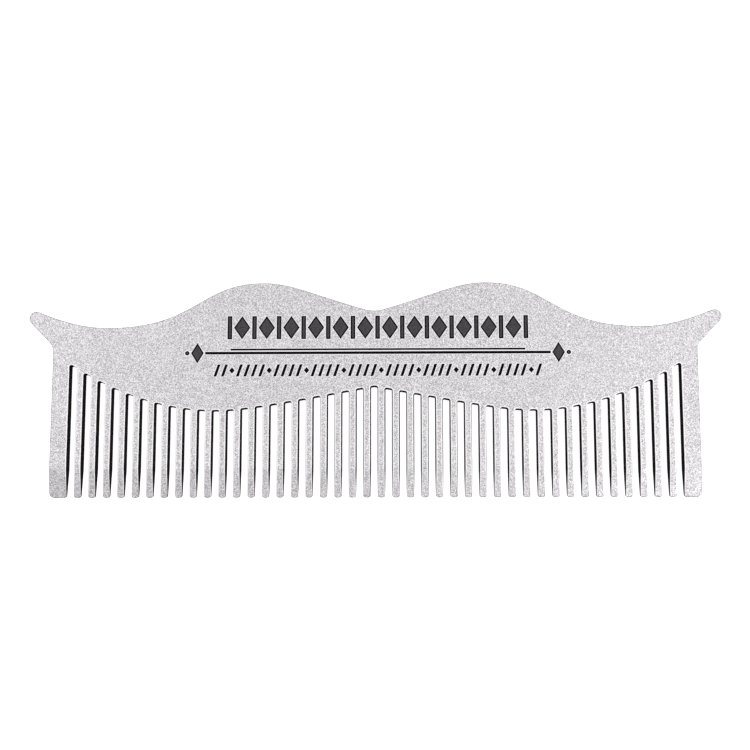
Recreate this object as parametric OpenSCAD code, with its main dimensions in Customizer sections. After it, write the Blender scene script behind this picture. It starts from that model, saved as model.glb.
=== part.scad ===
// Beard comb with a moustache-shaped back, cut from one sheet of steel.
//
// The comb lies flat: X runs from horn to horn, +Y runs from the tooth tips to
// the back, and Z is the thickness. The origin is in the middle of the lower
// face, which rests on z = 0. The outlines below are drawn with y = 0 at the
// tooth tips, and centred() moves them to their place.

/* [Overall] */
// Width from horn tip to horn tip
comb_w = 110; // [91:1:134]
// Height from the tooth tips to the tops of the two humps
comb_h = 34.2; // [28:0.1:42]
// Thickness of the steel sheet
sheet_t = 2; // [1.2:0.1:3]

/* [Back] */
// How far each side of the comb stands in from its horn tip
horn_reach = 4; // [3.2:0.1:5]
// Radius of the rounded horn tip
horn_r = 1.1; // [0.8:0.05:1.4]
// Height from the tops of the horns up to the tops of the humps
horn_drop = 4.5; // [3:0.1:5.5]
// Slope of the straight underside of the horn, in degrees
horn_slope = 46; // [40:1:52]
// Slope at which the back runs into the horn tip, in degrees
horn_top_slope = 20; // [14:1:26]
// Radius of the bend where the horn meets the side
horn_bend_r = 2.2; // [0.5:0.1:3]
// Distance from the middle of the comb to the top of each hump
hump_x = 17.7; // [15:0.1:22]
// Distance from each horn tip in to the lowest place of the back
trough_in = 12.6; // [10:0.1:15]
// Depth of that lowest place under the tops of the humps
trough_drop = 7.2; // [5.5:0.1:8.8]
// Depth of the waist between the humps
waist_drop = 4.52; // [3.5:0.01:5.5]
// Radius of the small hollow at the waist
waist_r = 5.4; // [3:0.1:8]
// Slope at which the hollow runs into the humps, in degrees
waist_slope = 16.6; // [12:0.1:20]

/* [Teeth] */
// Width of one tooth
tooth_w = 1; // [0.8:0.01:1.25]
// Gap between two teeth on the front face
slot_w = 1.27; // [1:0.01:1.6]
// How far the walls of a slot lean in on their way to the back face
wall_lean = 0.15; // [0.05:0.01:0.2]
// Least width of the wide guard at each end
guard_min = 2.2; // [1.5:0.1:3]
// Radius in the corners of the closed end of each slot
slot_end_r = 0.34; // [0.1:0.01:0.45]
// Radius of the tooth tips, seen from the front
tip_r = 0.5; // [0.3:0.01:0.55]
// Radius of the outer corner of each guard
guard_r = 0.8; // [0.4:0.1:1.6]
// Length over which the tips are ground thinner
grind_len = 4.45; // [3:0.05:6]
// Thickness left at the tips
tip_t = 0.5; // [0.3:0.05:0.9]
// Depth of the middle slot's end under the tops of the humps
root_mid_drop = 16.6; // [15.5:0.1:18]
// Depth of the wave's lowest place under the tops of the humps
root_low_drop = 20.45; // [18.5:0.05:23]
// Depth of the outermost slots' ends under the tops of the humps
root_side_drop = 13.3; // [11:0.1:16]
// Distance from the middle of the comb to the lowest place of the wave
root_low_x = 25; // [21:0.5:30]

/* [Marks] */
// Depth of the recess that holds each mark
mark_depth = 0.15; // [0.08:0.01:0.4]
// How far the paint in the marks lies under the face
paint_drop = 0.02; // [0.01:0.01:0.05]
// How far the marks sit to the right of the middle
mark_x = 0.55; // [-1:0.05:1]
// Length of the frieze of lozenges and bars
frieze_w = 47.6; // [36:0.1:50]
// Height of the frieze
frieze_h = 3.7; // [3:0.1:4.4]
// Number of lozenges in the frieze
lozenge_n = 12; // [6:1:13]
// Width of one lozenge
lozenge_w = 2.6; // [1.6:0.1:2.7]
// Width of the bars between the lozenges
bar_w = 0.7; // [0.3:0.05:0.8]
// Clear steel between the waist and the frieze
frieze_gap = 0.9; // [0.5:0.1:1.2]
// Clear steel between the frieze and the upper rule
rule_gap = 1.55; // [1:0.05:1.8]
// Thickness of the upper rule
upper_rule_t = 0.26; // [0.15:0.01:0.4]
// Length of the upper rule
upper_rule_w = 46.6; // [36:0.1:50]
// Clear steel between the two rules
between_rules = 0.24; // [0.15:0.01:0.4]
// Thickness of the lower rule
lower_rule_t = 0.38; // [0.2:0.01:0.5]
// Length of the lower rule
lower_rule_w = 54.6; // [44:0.1:58]
// Clear steel between the lower rule and its finials
finial_gap = 0.25; // [0.15:0.05:0.6]
// Width of the lozenge of a finial
finial_w = 2; // [1:0.1:2.4]
// Height of the lozenge of a finial
finial_h = 3.2; // [1.5:0.1:4]
// Clear steel between the lozenge and its dot
finial_dot_gap = 0.25; // [0.1:0.01:0.4]
// Radius of the dot beyond the lozenge
finial_dot_r = 0.36; // [0.2:0.01:0.5]
// Clear steel between the lower rule and the row of dashes
dash_gap = 1.65; // [1.3:0.05:1.9]
// Length of the row of dashes
dash_row_w = 51.2; // [40:0.1:54]
// Height of one dash
dash_h = 1.9; // [1.2:0.1:2.2]
// Thickness of one dash
dash_t = 0.42; // [0.2:0.01:0.5]
// Lean of the dashes, in degrees
dash_lean = 18; // [0:1:25]
// Number of places in the row
dash_n = 44; // [30:1:46]
// Every so many places a small lozenge stands in for a dash
dash_group = 5; // [3:1:8]
// Width of that lozenge
seed_w = 0.84; // [0.4:0.01:1]
// Height of that lozenge
seed_h = 0.95; // [0.5:0.01:1.4]

/* [Hidden] */

// Sides of a full circle in the small roundings
round_fn = 32;
// Steps along each curve of the back and along each part of the root wave
curve_steps = 20;
// How far cutters run past what they cut
past = 1;
// Thickness on each wall of a slot that only its leaning cut takes off
wall_left = 0.01;

// Half of the width between the outer sides of the guards
side_x = comb_w / 2 - horn_reach;
// Slots are added until the guards would get too narrow
pitch = tooth_w + slot_w;
slot_n = floor((2 * (side_x - guard_min) + tooth_w) / pitch);
last_slot_x = (slot_n - 1) / 2 * pitch;

// The back, from the middle to the horn tip
waist_y = comb_h - waist_drop;
waist_end = [waist_r * sin(waist_slope), waist_y + waist_r * (1 - cos(waist_slope))];
hump_top = [hump_x, comb_h];
trough = [comb_w / 2 - trough_in, comb_h - trough_drop];
horn_c = [comb_w / 2 - horn_r, comb_h - horn_drop - horn_r];
horn_start = horn_c + horn_r * [-sin(horn_top_slope), cos(horn_top_slope)];
// How far each curve keeps the direction of its start and of its end
waist_pull = 9.5;
hump_inner_pull = 4.5;
hump_outer_pull = 10.3;
trough_inner_pull = 14.3;
trough_outer_pull = 5.3;
horn_pull = 1;

// The underside of the horn, and the bend where it meets the side
horn_under = horn_c + horn_r * [sin(horn_slope), -cos(horn_slope)];
side_corner_y = horn_under.y - (horn_under.x - side_x) * tan(horn_slope);
bend_c = [side_x + horn_bend_r, side_corner_y - horn_bend_r * tan((90 - horn_slope) / 2)];

// The wave that the closed ends of the slots follow
root_mid = [0, comb_h - root_mid_drop];
root_low = [root_low_x, comb_h - root_low_drop];
root_side_y = comb_h - root_side_drop;
// Slope of the wave beside its middle, and the shares of its length over which
// the middle and the lowest place keep their direction
root_mid_slope = -10.5;
root_mid_hold = 0.57;
root_low_hold = 0.18;

// Heights of the marks, from the waist down
frieze_y = waist_y - frieze_gap - frieze_h / 2;
upper_rule_y = frieze_y - frieze_h / 2 - rule_gap - upper_rule_t / 2;
lower_rule_y = upper_rule_y - upper_rule_t / 2 - between_rules - lower_rule_t / 2;
dash_row_y = lower_rule_y - lower_rule_t / 2 - dash_gap - dash_h / 2;
finial_x = lower_rule_w / 2 + finial_gap + finial_w / 2;
finial_dot_x = finial_w / 2 + finial_dot_gap + finial_dot_r;
paint_t = mark_depth - paint_drop;

function direction(a) = [cos(a), sin(a)];

// Points of a cubic curve after its first point
function curve(a, b, c, d) =
    [for (i = [1 : curve_steps])
        let (t = i / curve_steps, s = 1 - t)
        s * s * s * a + 3 * s * s * t * b + 3 * s * t * t * c + t * t * t * d];

// Points of an arc of radius r from angle a to angle b
function arc(c, r, a, b, steps = round_fn / 4) =
    [for (i = [0 : steps]) c + r * direction(a + (b - a) * i / steps)];

function mirrored(points) = [for (i = [len(points) - 1 : -1 : 0]) [-points[i].x, points[i].y]];

// Right half of the outline, from the waist round to the bottom of the guard
function half_outline() = concat(
    arc([0, waist_y + waist_r], waist_r, -90, waist_slope - 90),
    curve(waist_end, waist_end + waist_pull * direction(waist_slope),
          hump_top - [hump_inner_pull, 0], hump_top),
    curve(hump_top, hump_top + [hump_outer_pull, 0], trough - [trough_inner_pull, 0], trough),
    curve(trough, trough + [trough_outer_pull, 0],
          horn_start - horn_pull * direction(horn_top_slope), horn_start),
    arc(horn_c, horn_r, 90 + horn_top_slope, horn_slope - 90),
    arc(bend_c, horn_bend_r, 90 + horn_slope, 180),
    arc([side_x - guard_r, guard_r], guard_r, 0, -90));

// Height of the root wave outside its lowest place
function side_wave(x) =
    root_low.y + (root_side_y - root_low.y) * pow((x - root_low.x) / (last_slot_x - root_low.x), 2);

// Right half of the root wave
function half_wave() = concat(
    [root_mid],
    curve(root_mid, root_mid + root_mid_hold * root_low_x * direction(root_mid_slope),
          root_low - [root_low_hold * root_low_x, 0], root_low),
    [for (i = [1 : curve_steps])
        let (x = root_low.x + (side_x - root_low.x) * i / curve_steps) [x, side_wave(x)]]);

module centred() translate([0, -comb_h / 2, 0]) children();

// Rounds the outward corners of a flat shape
module rounded(r) offset(r = r, $fn = round_fn) offset(delta = -r) children();

module outline() polygon(concat(half_outline(), mirrored(half_outline())));

// Everything under the root wave, down past the tips
module under_wave() {
    half = half_wave();
    polygon(concat([[0, -past]], [[-side_x, -past]], mirrored(half), half, [[side_x, -past]]));
}

module at_slots() for (i = [0 : slot_n - 1]) translate([i * pitch - last_slot_x, 0]) children();

// The slots, with slanted ends that follow the wave and rounded corners
module slots()
    rounded(slot_end_r)
        intersection() {
            under_wave();
            at_slots() translate([-slot_w / 2, -past]) square([slot_w, comb_h]);
        }

// The comb with slots that are a little too narrow, so that the leaning cuts clear them
module comb_shape()
    rounded(tip_r)
        difference() {
            outline();
            offset(delta = -wall_lean - wall_left) slots();
        }

// The slots seen from the tips, wide at the front face and narrow at the back
module leaning_gaps() {
    lean = wall_lean / sheet_t;
    low = slot_w / 2 - wall_lean - lean * past;
    high = slot_w / 2 + lean * past;
    at_slots() polygon([[-low, -past], [low, -past], [high, sheet_t + past], [-high, sheet_t + past]]);
}

// The cuts that open the slots. Their side walls lean, and their closed ends are upright
module slot_cuts()
    intersection() {
        translate([0, 0, -past]) linear_extrude(sheet_t + 2 * past) slots();
        translate([0, comb_h, 0]) rotate([90, 0, 0]) linear_extrude(comb_h + past) leaning_gaps();
    }

// The two wedges that grinding takes off the faces at the tips
module ground_off() {
    cut = (sheet_t - tip_t) / 2;
    slope = cut / grind_len;
    rotate([90, 0, 90])
        linear_extrude(comb_w, center = true) {
            polygon([[-past, cut + slope * past], [-past, -past], [grind_len, -past], [grind_len, 0]]);
            polygon([[-past, sheet_t - cut - slope * past], [grind_len, sheet_t],
                     [grind_len, sheet_t + past], [-past, sheet_t + past]]);
        }
}

module lozenge(w, h) polygon([[-w / 2, 0], [0, -h / 2], [w / 2, 0], [0, h / 2]]);

// A row of lozenges with a bar between each two and one at each end
module frieze() {
    step = (frieze_w - bar_w) / lozenge_n;
    translate([mark_x, frieze_y]) {
        for (i = [0 : lozenge_n])
            translate([(i - lozenge_n / 2) * step, 0])
                square([bar_w, frieze_h], center = true);
        for (i = [0 : lozenge_n - 1])
            translate([(i + 0.5 - lozenge_n / 2) * step, 0])
                lozenge(lozenge_w, frieze_h);
    }
}

module upper_rule() translate([mark_x, upper_rule_y]) square([upper_rule_w, upper_rule_t], center = true);

module lower_rule() translate([mark_x, lower_rule_y]) square([lower_rule_w, lower_rule_t], center = true);

// A lozenge and a dot beyond one end of the lower rule; side is -1 or 1
module finial(side)
    translate([mark_x + side * finial_x, lower_rule_y]) {
        lozenge(finial_w, finial_h);
        translate([side * finial_dot_x, 0]) circle(finial_dot_r, $fn = round_fn);
    }

module dash() {
    lean = dash_h / 2 * tan(dash_lean);
    polygon([[-dash_t / 2 - lean, -dash_h / 2], [dash_t / 2 - lean, -dash_h / 2],
             [dash_t / 2 + lean, dash_h / 2], [-dash_t / 2 + lean, dash_h / 2]]);
}

// Leaning dashes, with a small lozenge in the middle of each group
module dash_row() {
    step = (dash_row_w - dash_t) / (dash_n - 1);
    for (i = [0 : dash_n - 1])
        translate([mark_x + (i - (dash_n - 1) / 2) * step, dash_row_y])
            if (i % dash_group == floor(dash_group / 2))
                lozenge(seed_w, seed_h);
            else
                dash();
}

// The shallow pocket that a mark is etched into
module recess() translate([0, 0, sheet_t - mark_depth]) linear_extrude(mark_depth + past) children();

// The paint that fills the pocket
module paint() color("#3a383a") centred()
    translate([0, 0, sheet_t - mark_depth]) linear_extrude(paint_t) children();

module comb_plate() color("#d6d3d6") centred()
    difference() {
        linear_extrude(sheet_t) comb_shape();
        slot_cuts();
        ground_off();
        recess() frieze();
        recess() upper_rule();
        recess() lower_rule();
        recess() finial(-1);
        recess() finial(1);
        recess() dash_row();
    }

module frieze_paint() paint() frieze();

module upper_rule_paint() paint() upper_rule();

module lower_rule_paint() paint() lower_rule();

module left_finial_paint() paint() finial(-1);

module right_finial_paint() paint() finial(1);

module dash_row_paint() paint() dash_row();

comb_plate();
frieze_paint();
upper_rule_paint();
lower_rule_paint();
left_finial_paint();
right_finial_paint();
dash_row_paint();
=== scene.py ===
# %% [markdown]
# # A steel beard comb
#
# The object is one flat piece of stainless steel sheet, 110 mm wide and 2 mm
# thick. Its back is cut in the shape of a moustache, its lower half is cut into
# teeth, the tooth tips are ground thinner, and the whole plate has been bead
# blasted and tumbled, so it is pale and matt. Ornament is etched into one face
# and filled with black paint.
#
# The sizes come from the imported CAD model, which is loaded first and stays
# where it is. Blender adds what the CAD solids leave out: the worn edges, the
# paint that has settled in its recesses, and the finish of each surface.

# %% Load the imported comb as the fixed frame
from math import cos, radians, sin

import bmesh
import bpy
from mathutils import Matrix, Vector


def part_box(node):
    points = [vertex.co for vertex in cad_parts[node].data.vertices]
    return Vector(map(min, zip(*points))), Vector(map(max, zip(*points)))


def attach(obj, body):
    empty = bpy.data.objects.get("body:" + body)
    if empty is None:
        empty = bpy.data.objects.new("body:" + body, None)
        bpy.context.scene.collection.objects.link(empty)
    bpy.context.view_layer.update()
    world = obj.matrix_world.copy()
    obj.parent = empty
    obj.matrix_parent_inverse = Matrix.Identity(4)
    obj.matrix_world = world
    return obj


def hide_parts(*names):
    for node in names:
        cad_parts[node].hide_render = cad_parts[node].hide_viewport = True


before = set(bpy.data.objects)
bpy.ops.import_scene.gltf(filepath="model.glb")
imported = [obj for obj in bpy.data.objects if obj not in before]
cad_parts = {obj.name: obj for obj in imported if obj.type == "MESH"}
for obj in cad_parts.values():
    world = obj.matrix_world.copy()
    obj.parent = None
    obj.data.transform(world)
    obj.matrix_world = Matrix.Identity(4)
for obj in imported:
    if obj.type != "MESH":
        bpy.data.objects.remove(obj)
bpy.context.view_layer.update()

print("CAD nodes:", ", ".join(sorted(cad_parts)))

# %% [markdown]
# ## Real sizes
#
# Blender works in metres and the comb is a small thing, so its fine details are
# written in millimetres and turned to metres by one helper. The box of the
# plate gives the faces: it lies on z = 0, its tooth tips are at the lowest Y
# and the tops of its humps at the highest.

# %% The box of the plate
def mm(length):
    """A length in millimetres, in metres."""
    return length / 1000


plate_low, plate_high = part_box("comb_plate")
plate_size = plate_high - plate_low
front_z = plate_high.z
tips_y = plate_low.y
print("plate, mm:", [round(1000 * side, 2) for side in plate_size])

# %% [markdown]
# ## Camera
#
# The comb lies face up on a table, and the camera looks down on it from the
# side of the teeth, a little right of the middle. A 72 mm lens on a 36 mm frame
# sees the whole comb from less than a quarter of a metre away, so near the
# ends the inner walls of the slots show. A camera that looks almost straight
# down can't be levelled by the vertical, so it is levelled along the comb.

# %% Make the camera
view_distance = mm(236.5)
view_elevation = radians(80.49)
view_azimuth = radians(6.73)
looks_at = Vector((mm(0.14), tips_y + mm(19.25), front_z))

towards_camera = Vector((
    sin(view_azimuth) * cos(view_elevation),
    -cos(view_azimuth) * cos(view_elevation),
    sin(view_elevation),
))
camera_right = Vector((0, 1, 0)).cross(towards_camera).normalized()
camera_up = towards_camera.cross(camera_right)
camera_turn = Matrix((camera_right, camera_up, towards_camera)).transposed()
camera_place = looks_at + view_distance * towards_camera

camera = bpy.data.objects.new("camera", bpy.data.cameras.new("camera"))
bpy.context.scene.collection.objects.link(camera)
camera.data.lens = 72
camera.data.sensor_width = 36
camera.data.clip_start = mm(10)
camera.matrix_world = Matrix.Translation(camera_place) @ camera_turn.to_4x4()
bpy.context.scene.camera = camera
print("camera at, mm:", [round(1000 * c, 1) for c in camera_place])

# %% [markdown]
# ## Building materials
#
# Every finish below is drawn by nodes in the comb's own coordinates, so the
# pattern is fixed to the metal. One helper adds a node, sets it and links it;
# another turns the hex value of a colour, which is how a paint card gives it,
# into the linear light that the shader reckons with.

# %% Helpers for materials
def colour(hex_value):
    """Linear RGBA of an sRGB colour such as "d6d3d6"."""
    channels = [int(hex_value[i:i + 2], 16) / 255 for i in (0, 2, 4)]
    return (*[c / 12.92 if c <= 0.04045 else ((c + 0.055) / 1.055) ** 2.4 for c in channels], 1)


def add(material, kind, inputs=(), **settings):
    """Adds a node. Each input is a value, or the output of another node."""
    node = material.node_tree.nodes.new(kind)
    for name, value in settings.items():
        setattr(node, name, value)
    for socket, value in dict(inputs).items():
        if isinstance(value, bpy.types.NodeSocket):
            material.node_tree.links.new(value, node.inputs[socket])
        else:
            node.inputs[socket].default_value = value
    return node


def new_material(name):
    """A material with no nodes but its coordinates, which are the comb's own."""
    material = bpy.data.materials.new(name)
    material.use_nodes = True
    material.node_tree.nodes.clear()
    return material, add(material, "ShaderNodeTexCoord").outputs["Object"]


def finish(material, shader_inputs):
    """Gives the material its shader, whose inputs are values or node outputs."""
    shader = add(material, "ShaderNodeBsdfPrincipled", shader_inputs)
    add(material, "ShaderNodeOutputMaterial", {"Surface": shader.outputs["BSDF"]})
    print("finish:", material.name)


def per_metre(pattern_mm):
    """The scale of a pattern whose cells are this many millimetres across."""
    return 1 / mm(pattern_mm)


def deselect_all():
    for thing in bpy.context.selected_objects:
        thing.select_set(False)
    bpy.context.view_layer.objects.active = None

# %% [markdown]
# ## Table and light
#
# Small shiny goods are often shown on a sheet of white acrylic that is lit from
# below, because then they cast no shadow that could be taken for a part of
# them. The sheet here glows for the same reason, and it is kept out of
# reflections, so that the edges of the steel don't melt into it. It is wide, so
# that in low views it reaches nearly to the horizon.

# %% Make the table
deselect_all()
table_size = 100 * plate_size.x
table_gap = mm(0.05)
bpy.ops.mesh.primitive_plane_add(size=table_size, location=(0, 0, -table_gap))
table = bpy.context.object
table.name = "table"
table.visible_glossy = False
table.visible_diffuse = False

lit_acrylic, _ = new_material("lit_acrylic")
finish(lit_acrylic, {
    "Base Color": colour("f2f2f2"), "Roughness": 0.6,
    "Emission Color": (1, 1, 1, 1), "Emission Strength": 0.9,
})
table.data.materials.append(lit_acrylic)

# %% [markdown]
# Blasted metal shows a broad, dim image of what is round it, so soft lights
# make its tone. One hangs above and one on each side, which lifts both ends of
# the plate a little. The fourth is the strongest. It stands at the front right,
# where only the ground tips are tilted towards it, and they are brightest
# there and darkest at the left end.

# %% Make the soft lights
def soft_light(name, place, side, power):
    """A square area light at a place, which points at the comb."""
    lamp = bpy.data.lights.new(name, "AREA")
    lamp.shape = "SQUARE"
    lamp.size = side
    lamp.energy = power
    stand = bpy.data.objects.new(name, lamp)
    stand.location = place
    stand.rotation_euler = (-Vector(place)).to_track_quat("-Z", "Y").to_euler()
    bpy.context.scene.collection.objects.link(stand)


soft_light("light_above", (0, 0.12, 0.50), 0.30, 0.16)
soft_light("light_left", (-0.32, 0.10, 0.45), 0.25, 0.48)
soft_light("light_right", (0.32, 0.10, 0.45), 0.25, 0.44)
soft_light("light_front_right", (0.28, -0.20, 0.42), 0.25, 0.72)

world = bpy.data.worlds.new("studio")
bpy.context.scene.world = world
world.use_nodes = True
room_light = world.node_tree.nodes["Background"]
room_light.inputs["Color"].default_value = (1, 1, 1, 1)
room_light.inputs["Strength"].default_value = 0.50
bpy.context.scene.view_settings.view_transform = "Standard"

# %% [markdown]
# ## Blasted steel
#
# The plate is stainless steel, blasted with glass beads and then tumbled. Beads
# leave dimples all over, too fine to be seen one by one, and each sends the
# light another way: the eye gets an even, pale grey with a dry sparkle and no
# direction. A cell texture gives each dimple a hollow shape and a colour of its
# own, lighter or darker: a painted sparkle that puts the glint of each dimple
# into the colour. Real dimples are about 0.05 mm across. They are drawn nearly
# twice as coarse, because finer ones would average away in the picture. A slower
# pattern in the roughness gives the faint cloudiness that a hand-held gun leaves.

# %% Mix the blasted steel
dimple = 0.085
cloud = 6

blasted_steel, place = new_material("beaded_face")
dimples = add(blasted_steel, "ShaderNodeTexVoronoi", {
    "Vector": place, "Scale": per_metre(dimple),
})
shade = add(blasted_steel, "ShaderNodeSeparateColor", {"Color": dimples.outputs["Color"]})
contrast = add(blasted_steel, "ShaderNodeMapRange", {
    "Value": shade.outputs["Red"], "From Min": 0.12, "From Max": 0.88,
})
# Painted sparkle: each dimple's colour is made lighter or darker to stand in for its glint.
sparkle = add(blasted_steel, "ShaderNodeMix", {
    "Factor": contrast.outputs["Result"], "A": colour("a09ea0"), "B": colour("fcf9fc"),
}, data_type="RGBA")
clouds = add(blasted_steel, "ShaderNodeTexNoise", {"Vector": place, "Scale": per_metre(cloud)})
cloudy = add(blasted_steel, "ShaderNodeMapRange", {
    "Value": clouds.outputs["Fac"], "From Min": 0.3, "From Max": 0.7,
    "To Min": 0.46, "To Max": 0.54,
})
hollows = add(blasted_steel, "ShaderNodeBump", {
    "Height": dimples.outputs["Distance"], "Strength": 0.25, "Distance": mm(0.02),
})
finish(blasted_steel, {
    "Base Color": sparkle.outputs["Result"], "Metallic": 1.0, "Roughness": cloudy.outputs["Result"],
    "Normal": hollows.outputs["Normal"],
})

# %% [markdown]
# ## Worn edges with a painted highlight
#
# In the tumbler loose stones rub against the comb. They can't reach into the
# dimples, but they knock down what stands up, which is every edge of a slot or
# of an etched mark. So a narrow band along each of those edges has lost its
# dimples. The band is also painted brighter than the face, a painted highlight
# where these edges catch the light. Fine scuffs run through it.

# %% Mix the worn steel with its painted highlight
worn_steel_painted_highlight, place = new_material("tumbled_edge_painted_highlight")
scuffs = add(worn_steel_painted_highlight, "ShaderNodeTexNoise", {
    "Vector": place, "Scale": per_metre(0.3), "Detail": 2.0,
})
# The near-white colours are a painted highlight along the worn edges; the scuffs are real wear.
rubbed_painted_highlight = add(worn_steel_painted_highlight, "ShaderNodeMix", {
    "Factor": scuffs.outputs["Fac"], "A": colour("f4f1f4"), "B": colour("ffffff"),
}, data_type="RGBA")
rub_marks = add(worn_steel_painted_highlight, "ShaderNodeBump", {
    "Height": scuffs.outputs["Fac"], "Strength": 0.1, "Distance": mm(0.02),
})
finish(worn_steel_painted_highlight, {
    "Base Color": rubbed_painted_highlight.outputs["Result"], "Metallic": 1.0, "Roughness": 0.5,
    "Normal": rub_marks.outputs["Normal"],
})

# %% [markdown]
# ## Laser-cut walls in painted shade
#
# The slots are cut by laser, and their side walls lean a little, so that a slot
# is wider at the front. The melt leaves fine ribs that run through the sheet
# along the beam. The walls are painted nearly black with almost no gloss: this
# is painted shade, for the dark that falls deep in the narrow slots. The ribs
# are a noise that is stretched many times along Z.

# %% Mix the painted shade of the slot walls
rib = 0.12
stretch_along_beam = 0.08

slot_wall_painted_shade, place = new_material("laser_cut_wall_painted_shade")
along_the_beam = add(slot_wall_painted_shade, "ShaderNodeMapping", {
    "Vector": place, "Scale": (1, 1, stretch_along_beam),
})
ribs = add(slot_wall_painted_shade, "ShaderNodeTexNoise", {
    "Vector": along_the_beam.outputs["Vector"], "Scale": per_metre(rib), "Detail": 2.0,
})
# Painted shade: the near-black colours stand for the dark that falls deep in the slots; the ribs
# vary it.
painted_shade_tone = add(slot_wall_painted_shade, "ShaderNodeMix", {
    "Factor": ribs.outputs["Fac"], "A": colour("0d0c0d"), "B": colour("262426"),
}, data_type="RGBA")
rib_relief = add(slot_wall_painted_shade, "ShaderNodeBump", {
    "Height": ribs.outputs["Fac"], "Strength": 0.4, "Distance": mm(0.03),
})
finish(slot_wall_painted_shade, {
    "Base Color": painted_shade_tone.outputs["Result"], "Roughness": 0.9, "Specular IOR Level": 0.05,
    "Normal": rib_relief.outputs["Normal"],
})

# %% [markdown]
# ## The plate
#
# A copy of the CAD plate has the right outline, slots, ground tips and
# recesses, but it comes as loose triangles with knife-sharp edges. Its corners
# are merged first, and the triangles of each flat face are dissolved into one
# face. Then the walls of the plate can be told from the walls of the shallow
# recesses, which stand on the floor that the paint lies on.

# %% Copy the plate and clean it
same_corner = mm(0.0005)
same_plane = radians(0.5)


def copy_of(node, name, *finishes):
    """A new piece from a CAD node's mesh, merged and with whole flat faces, in edit mode."""
    piece = bpy.data.objects.new(name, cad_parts[node].data.copy())
    bpy.context.scene.collection.objects.link(piece)
    piece.data.materials.clear()
    for material in finishes:
        piece.data.materials.append(material)
    deselect_all()
    piece.select_set(True)
    bpy.context.view_layer.objects.active = piece
    bpy.ops.object.mode_set(mode="EDIT")
    bpy.ops.mesh.select_all(action="SELECT")
    bpy.ops.mesh.remove_doubles(threshold=same_corner)
    bpy.ops.mesh.dissolve_limited(angle_limit=same_plane)
    bpy.ops.mesh.select_all(action="DESELECT")
    return piece


steel = copy_of("comb_plate", "comb_steel", blasted_steel, worn_steel_painted_highlight, slot_wall_painted_shade)
BLASTED, WORN_PAINTED_HIGHLIGHT, SLOT_PAINTED_SHADE = range(3)

# %% Tell the walls apart
# The upward part of a face's normal is 0 on an upright face and 1 on a level one
upright_below = 0.3
level_above = 0.9
recess_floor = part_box("frieze_paint")[0].z
floor_tolerance = mm(0.01)
# A wall of a slot lies between these heights, and well inside the outer sides
slots_from_y = tips_y + mm(0.25)
slots_to_y = tips_y + mm(21.5)
side_margin = mm(1.5)
# Up to here the guards are the widest part. Above it the horns stand out
guards_to_y = tips_y + mm(10)


def lowest(item):
    return min(corner.co.z for corner in item.verts)


def highest(item):
    return max(corner.co.z for corner in item.verts)


def walls_of(shape):
    """The upright faces, as three lists: round the outside, in the slots, and in the recesses."""
    outer, slot, recess = [], [], []
    side_x = max(corner.co.x for corner in shape.verts if corner.co.y < guards_to_y)
    for face in shape.faces:
        if abs(face.normal.z) > upright_below or face.material_index != BLASTED:
            continue
        middle = face.calc_center_median()
        in_slots = abs(middle.x) < side_x - side_margin and slots_from_y < middle.y < slots_to_y
        if abs(lowest(face) - recess_floor) < floor_tolerance:
            recess.append(face)
        else:
            (slot if in_slots else outer).append(face)
    return outer, slot, recess


def nothing_selected():
    """The mesh being edited, with nothing in it selected."""
    bpy.ops.mesh.select_all(action="DESELECT")
    return bmesh.from_edit_mesh(steel.data)


def select_rims(shape, walls, above=-1):
    """Selects the edges where these walls meet level faces, from a height up, and counts them."""
    walls = set(walls)
    found = 0
    for edge in shape.edges:
        sides = set(edge.link_faces)
        level = [face for face in sides - walls if abs(face.normal.z) > level_above]
        if len(sides & walls) == 1 and level and highest(edge) > above:
            edge.select_set(True)
            found += 1
    bmesh.update_edit_mesh(steel.data)
    return found


shape = nothing_selected()
outer_walls, slot_walls, recess_walls = walls_of(shape)
print("walls: outside", len(outer_walls), "slots", len(slot_walls), "recesses", len(recess_walls))

# %% [markdown]
# The walls inside the slots, which are little wider than a millimetre, are
# painted nearly black: painted shade for the dark deep in the slots, while the
# outside walls keep the blasted finish. It reaches right up to the band with the
# painted highlight on the face. Bevelling those edges with a profile that is
# nearly square gives both at once: a flat band of set width on the face, and a
# corner that is only just rounded. The steep part of the bevel is still wall.

# %% Wear the edges of the slots, painting their highlight and their shade
worn_painted_highlight_band = mm(0.17)
band_wall_below = 0.6


def bevel_selected(width, segments, finish_index, profile=0.5):
    """Bevels the selected edges, all at one width and without sliding along other edges."""
    bpy.ops.mesh.bevel(
        offset=width, segments=segments, profile=profile, material=finish_index,
        clamp_overlap=False, loop_slide=False,
    )


# The walls inside the slots take the painted shade.
for wall in slot_walls:
    wall.material_index = SLOT_PAINTED_SHADE
print("slot edges:", select_rims(shape, slot_walls))
# The flat band of this bevel gets the worn finish with its painted highlight.
bevel_selected(worn_painted_highlight_band, 4, WORN_PAINTED_HIGHLIGHT, profile=0.85)

# Steep faces of the new band go back to the painted shade of the wall.
shape = nothing_selected()
for face in shape.faces:
    if face.material_index == WORN_PAINTED_HIGHLIGHT and abs(face.normal.z) < band_wall_below:
        face.material_index = SLOT_PAINTED_SHADE

# %% Round the edges of the outside
tumbled_radius = mm(0.15)

outer_walls, _, _ = walls_of(shape)
print("outside edges:", select_rims(shape, outer_walls))
bevel_selected(tumbled_radius, 3, BLASTED)

# %% [markdown]
# The recesses get the same worn band with its painted highlight, but no
# rounding: paint fills them up to the edge and keeps it crisp. A square profile
# leaves the shape as it was and only adds the band.

# %% Wear the edges of the etched marks, with their painted highlight
mark_painted_highlight_band = mm(0.115)

shape = nothing_selected()
_, _, recess_walls = walls_of(shape)
print("edges of marks:", select_rims(shape, recess_walls, above=front_z - floor_tolerance))
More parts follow.
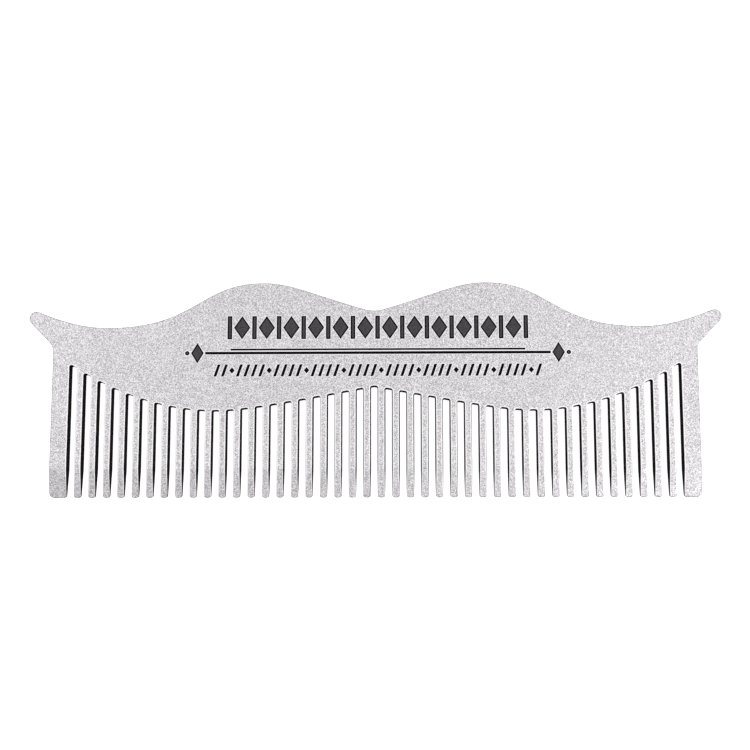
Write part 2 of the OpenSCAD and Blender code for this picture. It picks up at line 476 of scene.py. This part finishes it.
# The band round each mark gets the worn finish with its painted highlight.
bevel_selected(mark_painted_highlight_band, 2, WORN_PAINTED_HIGHLIGHT, profile=1.0)

# %% [markdown]
# Each bevel pushes the outline of the front face about, and a face with this
# many holes in it doesn't survive that well. So the front is laid again as one
# sheet: what is left of the old face is taken out, and the opening between all
# the bands is filled.

# %% Lay the front face again
front_tolerance = mm(0.001)

bpy.ops.mesh.select_mode(type="EDGE")
shape = nothing_selected()
for face in shape.faces:
    if face.material_index == BLASTED and lowest(face) > front_z - front_tolerance:
        face.select_set(True)
bmesh.update_edit_mesh(steel.data)
bpy.ops.mesh.delete(type="FACE")

shape = nothing_selected()
for edge in shape.edges:
    if len(edge.link_faces) == 1:
        edge.select_set(True)
bmesh.update_edit_mesh(steel.data)
bpy.ops.mesh.fill()
bpy.ops.mesh.select_all(action="SELECT")
bpy.ops.mesh.normals_make_consistent(inside=False)

# %% [markdown]
# The faces are shaded smooth only across the rounded edges. The line where the
# grinding of the tips begins turns the face by less than ten degrees, which
# smoothing would blur, so it is marked sharp. Weighting the normals by the size
# of each face keeps the big ones flat.

# %% Shade the plate
smooth_below = radians(30)
least_grind_turn, most_grind_turn = radians(5), radians(20)
nearly_level_above = 0.95

shape = bmesh.from_edit_mesh(steel.data)
open_edges = sum(len(edge.link_faces) != 2 for edge in shape.edges)
bpy.ops.object.mode_set(mode="OBJECT")
bpy.ops.object.shade_smooth_by_angle(angle=smooth_below)
bpy.ops.object.mode_set(mode="EDIT")

shape = nothing_selected()
grind_lines = 0
for edge in shape.edges:
    turn = edge.calc_face_angle(0)
    level = all(abs(face.normal.z) > nearly_level_above for face in edge.link_faces)
    if level and least_grind_turn < turn < most_grind_turn:
        edge.smooth = False
        grind_lines += 1
bmesh.update_edit_mesh(steel.data)
bpy.ops.object.mode_set(mode="OBJECT")

weighting = steel.modifiers.new("flat_faces_stay_flat", "WEIGHTED_NORMAL")
weighting.keep_sharp = True
bpy.ops.object.modifier_apply(modifier=weighting.name)
print("open edges:", open_edges, "edges of grind lines:", grind_lines,
      "faces of the plate:", len(steel.data.polygons))

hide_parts("comb_plate")
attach(steel, "root")

# %% [markdown]
# ## Paint
#
# The marks are filled with black paint that is wiped off the face while it is
# wet. It clings to the walls of each recess and sinks in the middle as it
# dries. The rim along the walls is painted near black, darker than the middle:
# painted shade at the edge of the recess. The thin middle takes the texture of
# the etched floor under it and looks dark grey.

# %% Mix the two looks of the paint
# Near-black paint. On a wide mark it is the rim, and there it is also painted shade at the edge of
# the recess.
black_paint_and_painted_edge_shade, _ = new_material("black_paint_and_painted_edge_shade")
finish(black_paint_and_painted_edge_shade, {"Base Color": colour("060506"), "Roughness": 0.4, "Specular IOR Level": 0.05})

paint_middle, place = new_material("paint_middle")
etched_grain = add(paint_middle, "ShaderNodeTexNoise", {
    "Vector": place, "Scale": per_metre(0.2), "Detail": 1.0,
})
thin_paint = add(paint_middle, "ShaderNodeMix", {
    "Factor": etched_grain.outputs["Fac"], "A": colour("121012"), "B": colour("625e62"),
}, data_type="RGBA")
grain_relief = add(paint_middle, "ShaderNodeBump", {
    "Height": etched_grain.outputs["Fac"], "Strength": 0.3, "Distance": mm(0.02),
})
finish(paint_middle, {
    "Base Color": thin_paint.outputs["Result"], "Roughness": 0.7, "Specular IOR Level": 0.15,
    "Normal": grain_relief.outputs["Normal"],
})

# %% [markdown]
# Each patch of paint starts as a copy of its CAD solid. Insetting its top face
# draws the rim, and pushing the inner face down makes the hollow. A wide mark
# shows the grey middle. In a thin one the rims meet, and it is black all over.

# %% Fill the marks
def settled_paint(node, name, rim, hollow, middle):
    """Paint for the marks of one CAD node, with a raised rim round a sunken middle."""
    paint = copy_of(node, name, black_paint_and_painted_edge_shade, middle)
    shape = bmesh.from_edit_mesh(paint.data)
    for face in shape.faces:
        if face.normal.z > level_above:
            face.select_set(True)
    bmesh.update_edit_mesh(paint.data)
    bpy.ops.mesh.inset(thickness=rim, depth=0, use_individual=True)
    bpy.ops.transform.translate(value=(0, 0, -hollow))
    bpy.context.object.active_material_index = 1
    bpy.ops.object.material_slot_assign()
    bpy.ops.object.mode_set(mode="OBJECT")
    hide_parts(node)
    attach(paint, "root")
    print(name, "faces:", len(paint.data.polygons))


wide_rim, thin_rim = mm(0.2), mm(0.08)
wide_hollow, thin_hollow = mm(0.03), mm(0.01)
settled_paint("frieze_paint", "frieze_filling", wide_rim, wide_hollow, paint_middle)
settled_paint("left_finial_paint", "left_finial_filling", wide_rim, wide_hollow, paint_middle)
settled_paint("right_finial_paint", "right_finial_filling", wide_rim, wide_hollow, paint_middle)
settled_paint("upper_rule_paint", "upper_rule_filling", thin_rim, thin_hollow, black_paint_and_painted_edge_shade)
settled_paint("lower_rule_paint", "lower_rule_filling", thin_rim, thin_hollow, black_paint_and_painted_edge_shade)
settled_paint("dash_row_paint", "dash_row_filling", thin_rim, thin_hollow, black_paint_and_painted_edge_shade)
